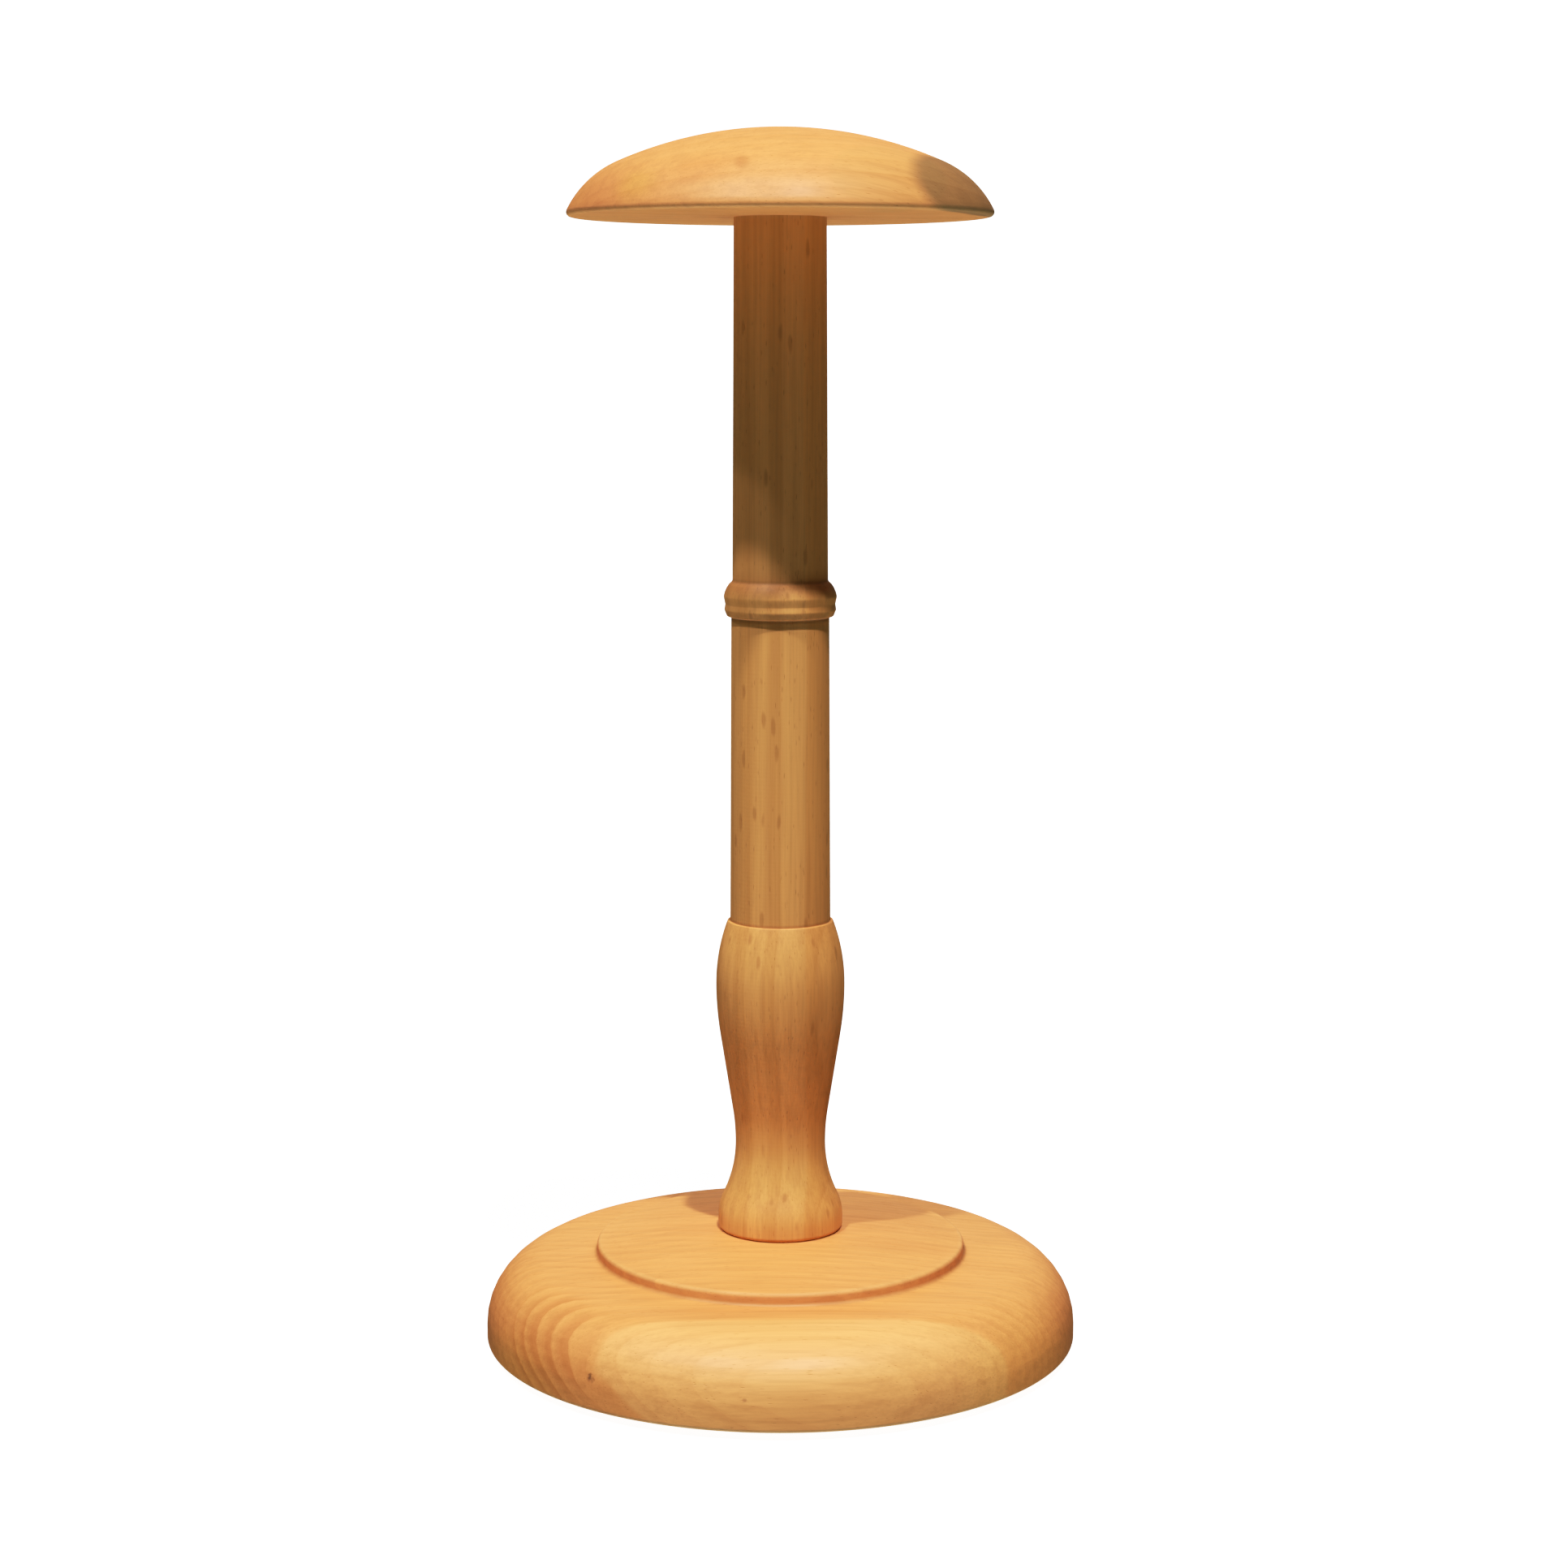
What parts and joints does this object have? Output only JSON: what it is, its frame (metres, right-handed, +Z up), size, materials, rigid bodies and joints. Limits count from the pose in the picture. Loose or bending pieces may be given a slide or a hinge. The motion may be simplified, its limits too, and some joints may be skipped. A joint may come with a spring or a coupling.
{
  "type": "wooden hat stand",
  "caption": "Free-standing turned wooden hat stand: a domed cap that holds the hat, on a vase-turned column bolted to a round felt-footed base.",
  "frame": {"origin": "on the surface that the stand stands on, under the middle of the base", "axes": "+Z up along the column's axis; the stand is turned about Z, so X and Y differ only in the felt pads and the wood's figure; -Y faces the viewer of the picture"},
  "size_m": [0.163, 0.163, 0.3311],
  "materials": {
    "base_wood": "satin clear lacquer on golden close-grained wood, flat-sawn, with curved growth rings and a small knot",
    "column_wood": "satin clear lacquer on golden close-grained wood, straight grain along the column",
    "cap_wood": "satin clear lacquer on golden close-grained wood, with curved growth rings and dark flecks",
    "insert_brass": "machined",
    "hardware_steel": "zinc plated",
    "pad_felt": "pressed felt"
  },
  "bodies": {
    "root": {"base": "base_wood", "column": "column_wood", "cap": "cap_wood", "thread_insert": "insert_brass", "base_bolt": "hardware_steel", "flat_washer": "hardware_steel", "spring_washer": "hardware_steel", "felt_pad_1": "pad_felt", "felt_pad_2": "pad_felt", "felt_pad_3": "pad_felt", "felt_pad_4": "pad_felt"}
  },
  "joints": []
}
